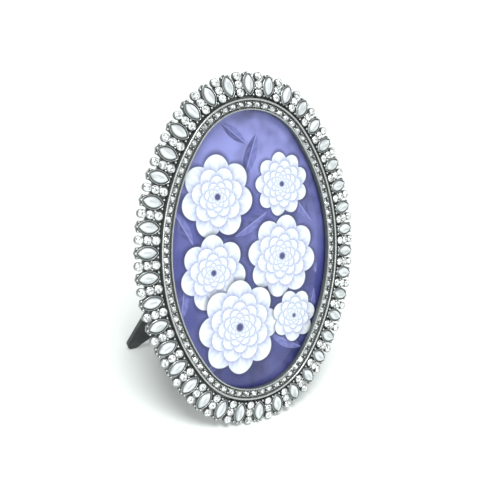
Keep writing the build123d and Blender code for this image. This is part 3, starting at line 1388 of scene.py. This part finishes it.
    def beads(self) -> Blank:
        """The beads at the bezels' tips and in the corners between the cups.

        Returns:
            All beads.
        """
        blank = Blank()
        large, small = self.bead_radius, self.small_bead_radius
        tip = self.bezel_length / 2
        for station in self.bezel_stations():
            for right, inset, rise in self.outer_beads:
                self.bead(blank, station, (right, tip - inset), large, rise, self.bead_points)
            for right, inset, rise in self.inner_beads:
                self.bead(blank, station, (right, inset - tip), small, rise, self.bead_points)
        for station in self.row_stations():
            for right in (-self.corner_bead_spread, self.corner_bead_spread):
                middle = (right, -self.cup_spacing / 2)
                self.bead(blank, station, middle, small, self.corner_bead_rise, self.corner_bead_points)
        return blank

    def web(self) -> Blank:
        """The thin web behind the settings, with a scalloped edge.

        Returns:
            The web.
        """
        tip = self.bezel_length / 2 * math.cos(self.fall)
        row_end = self.cup_spacing + self.cup_radius
        edge: list[Pair] = []
        for bezel, row in zip(self.bezel_stations(), self.row_stations()):
            for station, end, half in ((bezel, tip, self.bezel_lobe), (row, row_end, self.row_lobe)):
                mirrored = [(-right, along) for right, along in half[-2::-1]]
                for right, along in (*half, *mirrored):
                    across, _, up = station.at(right, end + along, 0.0)
                    edge.append((across, up))
        feet = [(foot.across, foot.up) for foot in self.oval.stations(self.ring_offset, self.web_feet)]
        return self.plate(edge, self.inside(edge, self.web_bevel), feet)

    def inside(self, loop: Sequence[Pair], inset: float) -> list[Pair]:
        """A clockwise outline moved inward.

        Args:
            loop: the outline's (across, up) points.
            inset: how far, in millimetres.

        Returns:
            The moved points.
        """
        moved = []
        for i, (across, up) in enumerate(loop):
            before, after = loop[i - 1], loop[(i + 1) % len(loop)]
            run, climb = after[0] - before[0], after[1] - before[1]
            length = math.hypot(run, climb)
            moved.append((across + climb / length * inset, up - run / length * inset))
        return moved

    def plate(self, edge: Sequence[Pair], face: Sequence[Pair], feet: Sequence[Pair]) -> Blank:
        """The web's plate between its bevelled edge and the ring.

        Args:
            edge: the outline of its edge, as (across, up) points.
            face: the outline of its flat faces, with as many points.
            feet: the outline of its hole, inside the ring.

        Returns:
            The closed plate.
        """
        bevel, count, hole = self.web_bevel, len(edge), len(feet)
        front, back = self.web_front, self.web_back
        loops = (
            (face, front, 0.45), (feet, front, 0.5), (edge, front + bevel, 0.25),
            (edge, back - bevel, 0.25), (face, back, 0.4), (feet, back, 0.6),
        )
        points = [(across, depth, up) for loop, depth, _ in loops for across, up in loop]
        patina = [dark for loop, _, dark in loops for _ in loop]
        filled = tessellate_polygon([[Vector((*point, 0)) for point in loop] for loop in (face, feet)])
        rear = 3 * count + hole
        faces = [tuple(corners) for corners in filled]
        faces.extend(tuple(rear + corner for corner in corners) for corners in filled)
        starts = (0, count + hole, 2 * count + hole, rear)
        bands = [(first, second, count) for first, second in zip(starts, starts[1:])]
        for first, second, size in (*bands, (count, rear + count, hole)):
            for i in range(size):
                after = (i + 1) % size
                faces.append((first + i, first + after, second + after, second + i))
        blank = Blank()
        blank.add(points, faces, patina)
        return blank

    def build(self, stand: Stand, silver: bpy.types.Material) -> list[bpy.types.Object]:
        """Makes the border's cast pieces.

        Args:
            stand: where the upright frame stands in the model.
            silver: the casting's finish.

        Returns:
            The pieces.
        """
        made = (
            ("border_web", self.web(), self.web_smooth),
            ("bezels", self.bezels(), self.smooth),
            ("cups", self.cups(), self.smooth),
            ("beads", self.beads(), self.smooth),
        )
        return [
            blank.object(name, stand, silver, Body.FRAME, Slot.SILVER, ("cast_frame",), smooth)
            for name, blank, smooth in made
        ]


@dataclass(frozen=True)
class Pearls:
    """The marquise cabochons in the bezels."""

    border: Border
    inset: float = 0.86
    foot_rise: float = 0.02
    flank_rise: float = 0.25
    rise: float = 2.2
    rows: int = 14
    row_bias: float = 1.4
    dome_share: float = 0.92
    dome_power: float = 2.3
    cone_share: float = 0.08
    crown_share: float = 0.985
    edge_shade_share: float = 0.42
    stone_spacing: float = 0.05
    smooth: float = 80.0

    def levels(self) -> list[Point]:
        """The pearl's profile.

        Returns:
            (inset, rise, painted edge shade) rows, from the girdle to the crown.
        """
        span = self.border.bezel_width / 2 - self.inset
        climb = self.rise - self.flank_rise
        levels = [(self.inset, self.foot_rise, 1.0)]
        for i in range(self.rows + 1):
            share = (i / self.rows) ** self.row_bias
            round_part = math.sqrt(max(1 - (1 - share) ** self.dome_power, 0.0))
            curve = self.dome_share * round_part + self.cone_share * share
            # Painted shade: darkest at the girdle, fading out up the dome.
            edge = max(1 - share / self.edge_shade_share, 0.0)
            inset = self.inset + span * share * self.crown_share
            levels.append((inset, self.flank_rise + climb * curve, edge))
        return levels

    def build(self, stand: Stand, lustre: bpy.types.Material) -> bpy.types.Object:
        """Makes all pearls as one piece.

        Args:
            stand: where the upright frame stands in the model.
            lustre: their finish.

        Returns:
            The piece.
        """
        blank = Blank()
        levels = self.levels()
        for number, station in enumerate(self.border.bezel_stations()):
            far = number * self.stone_spacing
            rows = []
            for inset, rise, _ in levels:
                outline = self.border.marquise(inset)
                rows.append([self.border.local(station, right, along, rise) for right, along in outline])
                blank.stone.extend((right * MM, along * MM, far) for right, along in outline)
            # The painted edge shade goes into the mesh's patina values.
            blank.tube(rows, [edge for _, _, edge in levels], ends=True)
        parts = ("pearl_cabochons",)
        return blank.object("pearls", stand, lustre, Body.FRAME, Slot.PEARL, parts, self.smooth)


@dataclass(frozen=True)
class Crystals:
    """The round cut crystals of the border's radial rows."""

    border: Border
    sides: int = 8
    girdle: float = 1.93
    seat: float = 0.8
    girdle_rise: float = 0.98
    shoulder: float = 1.58
    shoulder_rise: float = 1.36
    table: float = 1.06
    table_rise: float = 1.68
    eye: float = 0.42
    seed: int = 17
    # Face tones are painted reflections: 0 is a grey reflection, 1 a bright glint.
    foot_tone: float = 0.5
    girdle_tone: float = 0.4
    eye_reflection_tones: tuple[float, ...] = (0.15, 0.35, 0.7)
    facet_glint_tones: tuple[float, ...] = (1.0, 1.0, 0.95, 0.8, 0.6, 0.35, 0.1)

    def cut(self, blank: Blank, station: Station, along: float, chance: random.Random) -> None:
        """Adds one crystal: girdle, crown facets and table, each face painted with a reflection tone; the
        table's star and dark middle are painted reflections.

        Args:
            blank: the piece that it is part of.
            station: its row's station.
            along: its middle, outward from the station.
            chance: what the painted reflection tones and the turn are drawn from.
        """
        sides, around = self.sides, 2 * self.sides
        turn = chance.uniform(0, 2 * math.pi / sides)
        points: list[Point] = []

        def ring(radius: float, rise: float, count: int, shift: float = 0.0) -> list[int]:
            """Adds a ring of points and returns their numbers."""
            first = len(points)
            for i in range(count):
                angle = turn + 2 * math.pi * (i + shift) / count
                right, out = radius * math.sin(angle), radius * math.cos(angle)
                points.append(self.border.local(station, right, along + out, rise))
            return list(range(first, first + count))

        foot = ring(self.girdle, self.seat, around)
        edge = ring(self.girdle, self.girdle_rise, around)
        mid = ring(self.shoulder, self.shoulder_rise, sides, 0.5)
        table = ring(self.table, self.table_rise, sides)
        eye = ring(self.eye, self.table_rise, sides)
        faces: list[tuple[int, ...]] = [tuple(foot[::-1]), tuple(eye)]
        glint_tones = [self.foot_tone, chance.choice(self.eye_reflection_tones)]
        for i in range(around):
            after = (i + 1) % around
            faces.append((foot[i], foot[after], edge[after], edge[i]))
            faces.append((edge[i], edge[after], mid[i // 2]))
            glint_tones.extend((self.girdle_tone, chance.choice(self.facet_glint_tones)))
        for i in range(sides):
            after = (i + 1) % sides
            faces.append((table[i], mid[i - 1], edge[2 * i], mid[i]))
            faces.append((table[i], mid[i], table[after]))
            faces.append((table[i], table[after], eye[after], eye[i]))
            glint_tones.extend(chance.choice(self.facet_glint_tones) for _ in range(3))
        blank.add(points, faces, glint_tones=glint_tones)

    def build(self, stand: Stand, crystal: bpy.types.Material) -> list[bpy.types.Object]:
        """Makes the three rings of crystals.

        Args:
            stand: where the upright frame stands in the model.
            crystal: their finish.

        Returns:
            The pieces.
        """
        chance = random.Random(self.seed)
        made = []
        for name, step in (("inner", -1), ("middle", 0), ("outer", 1)):
            blank = Blank()
            for station in self.border.row_stations():
                self.cut(blank, station, step * self.border.cup_spacing, chance)
            piece, parts = f"{name}_cut_crystals", (f"{name}_crystals",)
            made.append(blank.object(piece, stand, crystal, Body.FRAME, Slot.CRYSTAL, parts, 0.0))
        return made


@dataclass(frozen=True)
class ChannelStones:
    """The small square stones in the ring's channel, each in a cast seat, with two beads in every gap.

    Seat rows are (share of the stone's size, depth below its girdle, patina).
    """

    oval: Oval
    count: int = 81
    line: float = 2.9
    size: float = 3.0
    corner: float = 0.8
    floor: float = 2.0
    foot_sunk: float = 0.05
    girdle_depth: float = 1.55
    girdle_height: float = 0.35
    table_depth: float = 1.1
    table_share: float = 0.6
    table_dip: float = 0.05
    bead_radius: float = 0.6
    bead_depth: float = 1.4
    bead_spread: float = 1.0
    bead_points: int = 10
    prong_radius: float = 0.34
    prong_share: float = 0.94
    prong_lift: float = 0.02
    seat_rows: tuple[Point, ...] = ((1.16, 0.25, 0.4), (1.06, 0.1, 0.15), (0.98, 0.12, 0.5))
    seed: int = 5
    # Face tones are painted reflections: 0 is a grey reflection, 1 a bright glint.
    foot_tone: float = 0.4
    girdle_tone: float = 0.15
    crown_glint_tones: tuple[float, ...] = (0.9, 0.6, 0.4, 0.2, 0.05)
    table_glint_tones: tuple[float, ...] = (1.0, 0.85, 0.6, 0.35, 0.1)
    bead_bands: tuple[Pair, ...] = ((0, 0.4), (30, 0.2), (58, 0.1), (82, 0.0))

    def outline(self, share: float) -> list[Pair]:
        """A square with cut corners.

        Args:
            share: its size, as a share of the stone's.

        Returns:
            (right, outward) points.
        """
        half, cut = self.size / 2 * share, self.corner * share
        points = []
        for quarter in range(4):
            for x, z in ((half, half - cut), (half - cut, half)):
                for _ in range(quarter):
                    x, z = -z, x
                points.append((x, z))
        return points

    def stone(self, blank: Blank, station: Station, chance: random.Random) -> None:
        """Adds one stone: a low girdle, eight crown facets and a table of eight, each face painted with a
        reflection tone.

        Args:
            blank: the piece that it is part of.
            station: its middle.
            chance: what the painted reflection tones are drawn from.
        """
        girdle, table = self.girdle_depth, self.table_depth
        rows = ((1.0, girdle + self.girdle_height), (1.0, girdle), (self.table_share, table))
        points = [station.at(x, z, depth) for share, depth in rows for x, z in self.outline(share)]
        middle, sides = len(points), len(points) // len(rows)
        points.append(station.at(0.0, 0.0, table + self.table_dip))
        faces: list[tuple[int, ...]] = [tuple(range(sides))[::-1]]
        glint_tones = [self.foot_tone]
        for start in (0, sides):
            for i in range(sides):
                near, after = start + i, start + (i + 1) % sides
                faces.append((near, after, sides + after, sides + near))
                glint_tones.append(chance.choice(self.crown_glint_tones) if start else self.girdle_tone)
        for i in range(sides):
            faces.append((2 * sides + i, 2 * sides + (i + 1) % sides, middle))
            glint_tones.append(chance.choice(self.table_glint_tones))
        blank.add(points, faces, glint_tones=glint_tones)

    def bead(self, blank: Blank, station: Station, middle: Pair, radius: float, depth: float) -> None:
        """Adds a bead that stands on the channel's floor.

        Args:
            blank: the piece that it is part of.
            station: the station that it belongs to.
            middle: (right, outward) of its middle.
            radius: its radius.
            depth: the depth of its middle.
        """
        foot = (radius, self.floor + self.foot_sunk, 0.7)
        rows = [foot, *dome(radius, depth, self.bead_bands, -1)]
        blank.turned(station.at, rows, self.bead_points, middle)

    def seat(self, blank: Blank, station: Station) -> None:
        """Adds a stone's cast seat and the prongs at its four corners.

        Args:
            blank: the piece that it is part of.
            station: the stone's middle.
        """
        girdle, reach = self.girdle_depth, self.size / 2
        rows = [
            (self.seat_rows[0][0], self.floor + self.foot_sunk, 0.6),
            *((share, girdle + below, dark) for share, below, dark in self.seat_rows),
        ]
        sections = [[station.at(x, z, depth) for x, z in self.outline(share)] for share, depth, _ in rows]
        blank.tube(sections, [dark for _, _, dark in rows], ends=True)
        for x in (-reach, reach):
            for z in (-reach, reach):
                middle = (self.prong_share * x, self.prong_share * z)
                self.bead(blank, station, middle, self.prong_radius, girdle - self.prong_lift)

    def build(
        self, stand: Stand, silver: bpy.types.Material, crystal: bpy.types.Material,
    ) -> list[bpy.types.Object]:
        """Makes the stones, and their seats and beads.

        Args:
            stand: where the upright frame stands in the model.
            silver: the finish of the seats and beads.
            crystal: the finish of the stones.

        Returns:
            The pieces.
        """
        chance = random.Random(self.seed)
        stones, seats = Blank(), Blank()
        for station in self.oval.stations(self.line, self.count):
            self.stone(stones, station, chance)
            self.seat(seats, station)
        for station in self.oval.stations(self.line, self.count, 0.5):
            for z in (-self.bead_spread, self.bead_spread):
                self.bead(seats, station, (0.0, z), self.bead_radius, self.bead_depth)
        return [
            stones.object("channel_stones", stand, crystal, Body.FRAME, Slot.CRYSTAL, (), 0.0),
            seats.object("channel_seats", stand, silver, Body.FRAME, Slot.SILVER, ("cast_frame",)),
        ]


# The print and the easel back


@dataclass(frozen=True)
class PrintSheet:
    """The print, a hair's breadth clear of the glass, so that the two faces don't coincide."""

    face_limit: float = 5.3
    air: float = 0.04
    smooth: float = 30.0

    def build(self, stand: Stand, picture: bpy.types.Material) -> bpy.types.Object:
        """Makes the print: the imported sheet's own shape, with its face set back.

        Args:
            stand: where the upright frame stands in the model.
            picture: the print's finish.

        Returns:
            The piece.
        """
        mesh = frame["nodes"]["photo_print"].data.copy()
        for vertex in mesh.vertices:
            if (vertex.co - stand.origin).dot(stand.back) < self.face_limit * MM:
                vertex.co = vertex.co + stand.back * self.air * MM
        mesh.materials.clear()
        parts = ("photo_print",)
        return dress(mesh, "printed_sheet", picture, Body.FRAME, Slot.PRINT, parts, self.smooth)


@dataclass(frozen=True)
class EaselBack:
    """The leg, the rivets of both hinge leaves and the turn buttons' screws.

    Rivet rows are (share of the radius, rise), and head rows (share of the radius, distance below the top).
    """

    open_angle: float = math.radians(37.1)
    axis_depth: float = 11.55
    axis_height: float = 36.0
    merge_reach: float = 0.01
    flat_angle: float = math.radians(1.0)
    sharp_angle: float = math.radians(50)
    leg_bevel: float = 0.55
    leg_bevel_steps: int = 4
    leg_smooth: float = 50.0
    rivet_radius: float = 1.45
    rivet_reach: float = 8.0
    rivet_points: int = 28
    rivet_rows: tuple[Pair, ...] = (
        (1.0, -0.02), (1.0, 0.08), (0.93, 0.25), (0.75, 0.43), (0.45, 0.56), (0.12, 0.6),
    )
    back_leaf_face: float = 10.25
    back_rivet_height: float = 45.0
    leg_leaf_face: float = 13.75
    leg_rivet_height: float = 25.5
    shank_radius: float = 1.4
    shank_front: float = 5.4
    head_radius: float = 2.6
    head_front: float = 11.0
    head_edge: float = 0.35
    head_rise: float = 1.2
    head_rows: tuple[Pair, ...] = ((0.93, 0.45), (0.78, 0.18), (0.5, 0.04), (0.2, 0.0))
    slot_width: float = 0.7
    slot_depth: float = 0.55
    slot_overrun: float = 0.5
    slot_headroom: float = 1.0
    screw_line: float = 6.2
    screw_points: int = 40
    screw_smooth: float = 35.0

    def opened(self, across: float, depth: float, up: float) -> Point:
        """Turns a point of the folded leg to where it lies with the leg open.

        Args:
            across, depth, up: the point with the leg folded, in the upright frame.

        Returns:
            The point as (across, depth, up) of the upright frame.
        """
        sine, cosine = math.sin(self.open_angle), math.cos(self.open_angle)
        back, rise = depth - self.axis_depth, up - self.axis_height
        turned_depth = self.axis_depth + back * cosine - rise * sine
        turned_up = self.axis_height + back * sine + rise * cosine
        return (across, turned_depth, turned_up)

    def rivets(self, stand: Stand, steel: bpy.types.Material) -> list[bpy.types.Object]:
        """Makes the rivet heads of the back leaf and of the leg leaf.

        Args:
            stand: where the upright frame stands in the model.
            steel: their finish.

        Returns:
            The pieces.
        """
        def on_back(across: float, up: float, rise: float) -> Point:
            """A point over the back leaf's face."""
            return (across, self.back_leaf_face + rise, up)

        def on_leg(across: float, up: float, rise: float) -> Point:
            """A point over the leg leaf's face, with the leg open."""
            return self.opened(across, self.leg_leaf_face + rise, up)

        back, leg = Blank(), Blank()
        rows = [(self.rivet_radius * share, rise, 0.0) for share, rise in self.rivet_rows]
        for middle in (-self.rivet_reach, self.rivet_reach):
            back.turned(on_back, rows, self.rivet_points, (middle, self.back_rivet_height))
            leg.turned(on_leg, rows, self.rivet_points, (middle, self.leg_rivet_height))
        return [
            back.object("back_leaf_rivets", stand, steel, Body.FRAME, Slot.STEEL),
            leg.object("leg_leaf_rivets", stand, steel, Body.LEG, Slot.STEEL),
        ]

    def screws(self, stand: Stand, oval: Oval, steel: bpy.types.Material) -> bpy.types.Object:
        """Makes the slotted round heads and shanks of the turn buttons' screws.

        Args:
            stand: where the upright frame stands in the model.
            oval: the opening's oval.
            steel: their finish.

        Returns:
            The piece.
        """
        top = self.head_front + self.head_rise
        rows = [
            (self.shank_radius, self.shank_front, 0.0),
            (self.shank_radius, self.head_front, 0.0),
            (self.head_radius, self.head_front, 0.0),
            (self.head_radius, self.head_front + self.head_edge, 0.0),
            *((self.head_radius * share, top - below, 0.0) for share, below in self.head_rows),
        ]
        half, reach = self.slot_width / 2, self.head_radius + self.slot_overrun
        corners = ((-half, -reach), (half, -reach), (half, reach), (-half, reach))
        depths = (top - self.slot_depth, top + self.slot_headroom)
        blank, cutter = Blank(), Blank()
        for station in oval.stations(self.screw_line, 2, 0.5):
            blank.turned(station.at, rows, self.screw_points)
            sections = [[station.at(x, z, depth) for x, z in corners] for depth in depths]
            cutter.tube(sections, [0.0, 0.0], ends=True)
        parts, smooth = ("turn_button_screws",), self.screw_smooth
        head = blank.object("slotted_screws", stand, steel, Body.FRAME, Slot.STEEL, parts, smooth)
        tool = cutter.tool("slot_cutter", stand)
        cut = head.modifiers.new("slot", "BOOLEAN")
        cut.operation, cut.object, cut.solver = "DIFFERENCE", tool, "EXACT"
        settle(head, smooth)
        bpy.data.objects.remove(tool)
        return head

    def leg(self, velvet: bpy.types.Material) -> bpy.types.Object:
        """Makes the velvet-covered leg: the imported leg's own shape with soft edges.

        Args:
            velvet: its finish.

        Returns:
            The piece.
        """
        mesh = frame["nodes"]["easel_leg"].data.copy()
        work = bmesh.new()
        work.from_mesh(mesh)
        bmesh.ops.remove_doubles(work, verts=work.verts, dist=self.merge_reach * MM)
        bmesh.ops.dissolve_limit(work, angle_limit=self.flat_angle, verts=work.verts, edges=work.edges)
        bmesh.ops.bevel(
            work,
            geom=[edge for edge in work.edges if edge.calc_face_angle(0.0) > self.sharp_angle],
            offset=self.leg_bevel * MM,
            segments=self.leg_bevel_steps,
            profile=0.5,
            affect="EDGES",
            clamp_overlap=True,
        )
        work.to_mesh(mesh)
        work.free()
        mesh.materials.clear()
        return dress(mesh, "velvet_leg", velvet, Body.LEG, Slot.VELVET, ("easel_leg",), self.leg_smooth)


def settle(piece: bpy.types.Object, smooth: float) -> None:
    """Applies a piece's modifiers to its mesh.

    Args:
        piece: the piece.
        smooth: the angle in degrees up to which faces shade as one.
    """
    graph = bpy.context.evaluated_depsgraph_get()
    mesh = bpy.data.meshes.new_from_object(piece.evaluated_get(graph))
    piece.modifiers.clear()
    piece.data = mesh
    soften(mesh, smooth)


# The studio


@dataclass(frozen=True)
class Lamp:
    """A soft lamp that faces the frame.

    Its place is in metres. The size is the length of its sides in metres, or the angle that it spans in
    radians, and the power is in watts, or in watts on a square metre.
    """

    name: str
    kind: LampKind
    place: Point
    size: float
    power: float
    target: Point = (0.0, 0.0, 0.08)

    def hang(self) -> None:
        """Hangs the lamp."""
        light = bpy.data.lights.new(self.name, self.kind.value)
        light.energy = self.power
        setattr(light, "size" if self.kind is LampKind.AREA else "angle", self.size)
        lamp = bpy.data.objects.new(self.name, light)
        lamp.location = Vector(self.place)
        aim = Vector(self.target) - Vector(self.place)
        lamp.rotation_euler = aim.to_track_quat("-Z", "Y").to_euler()
        bpy.context.scene.collection.objects.link(lamp)


@dataclass(frozen=True)
class Studio:
    """The floor, the soft lamps and the camera at the photograph's viewing angle.

    The camera's place is in millimetres and, like its directions, in the upright frame.
    """

    stand: Stand
    camera_place: Point = (-247.2, -356.76, 66.26)
    camera_right: Point = (0.83237, -0.55423, 0.0)
    camera_down: Point = (-0.07545, -0.11331, -0.9907)
    camera_roll: float = math.radians(1.934)
    camera_lens: float = 62.99
    camera_sensor: float = 36.0
    camera_nearest: float = 0.01
    floor_size: float = 6.0
    sky: Colour = (0.97, 0.985, 1.0, 1.0)
    ambient: float = 0.36
    lamps: tuple[Lamp, ...] = (
        Lamp("high_light", LampKind.SUN, (-0.3, -0.4, 1.0), 0.5, 2.7),
        Lamp("front_lamp", LampKind.AREA, (-0.4, -1.3, 0.55), 0.5, 6.0),
    )

    def camera(self) -> None:
        """Sets the camera."""
        right, down = self.stand.direction(*self.camera_right), self.stand.direction(*self.camera_down)
        cosine, sine = math.cos(self.camera_roll), math.sin(self.camera_roll)
        right, down = right * cosine + down * sine, down * cosine - right * sine
        right.normalize()
        down = (down - right * down.dot(right)).normalized()
        turned = Matrix((right, -down, right.cross(-down))).transposed().to_4x4()
        camera = bpy.data.objects.new("camera", bpy.data.cameras.new("camera"))
        camera.data.lens = self.camera_lens
        camera.data.sensor_width = self.camera_sensor
        camera.data.clip_start = self.camera_nearest
        camera.matrix_world = Matrix.Translation(self.stand.point(*self.camera_place)) @ turned
        bpy.context.scene.collection.objects.link(camera)
        bpy.context.scene.camera = camera

    def floor(self) -> None:
        """Lays the pale floor."""
        half = self.floor_size / 2
        corners = [(-half, -half, 0), (half, -half, 0), (half, half, 0), (-half, half, 0)]
        mesh = bpy.data.meshes.new("floor")
        mesh.from_pydata(corners, [], [(0, 1, 2, 3)])
        floor = bpy.data.objects.new("floor", mesh)
        floor.data.materials.append(StudioFloor().material())
        bpy.context.scene.collection.objects.link(floor)

    def world(self) -> None:
        """Sets the even light all round, white where the camera sees it."""
        graph = Graph(bpy.data.worlds.new("studio"))
        even = graph.node("ShaderNodeBackground", None, {"Color": self.sky, "Strength": self.ambient})
        white = graph.node("ShaderNodeBackground", None, {"Color": WHITE, "Strength": 1.0})
        shader = graph.mix_shaders(graph.seen(), even, white)
        bpy.context.scene.world = graph.close(shader, "World")

    def build(self) -> None:
        """Sets up the whole studio."""
        self.world()
        self.floor()
        for lamp in self.lamps:
            lamp.hang()
        self.camera()
        bpy.context.scene.view_settings.view_transform = "Standard"


def finish_node(name: str, material: bpy.types.Material) -> None:
    """Gives a kept node its finish.

    Args:
        name: the node's name.
        material: its finish.
    """
    node = frame["nodes"][name]
    for place in node.material_slots:
        place.link = "DATA"
        place.material = material
    logging.info("%s: kept, finished as %s", name, material.name)


def main() -> None:
    """Builds the studio and every sub-assembly in order."""
    logging.basicConfig(level=logging.INFO, format="%(message)s")
    swivel = next(joint for joint in frame["joints"] if joint["name"] == "right_button_swivel")
    stand = Stand.from_swivel(swivel, BUTTON_REACH, BUTTON_DEPTH)
    oval = Oval()
    silver = AntiqueSilver().material()
    crystal = FoiledCrystal().material()
    velvet = Velvet().material()
    steel = PlatedSteel().material()
    Studio(stand).build()
    InnerRing(oval).build(stand, silver)
    border = Border(oval)
    border.build(stand, silver)
    Pearls(border).build(stand, PearlLustre().material())
    Crystals(border).build(stand, crystal)
    ChannelStones(oval).build(stand, silver, crystal)
    easel = EaselBack()
    easel.leg(velvet)
    easel.rivets(stand, steel)
    easel.screws(stand, oval, steel)
    finish_node("glass_pane", ClearGlass().material())
    PrintSheet().build(stand, PrintedPicture().material(stand))
    finish_node("back_board", velvet)
    for name in ("hinge_back_leaf", "hinge_leg_leaf", "hinge_pin", "turn_button_right", "turn_button_left"):
        finish_node(name, steel)


if __name__ == "__main__":
    main()
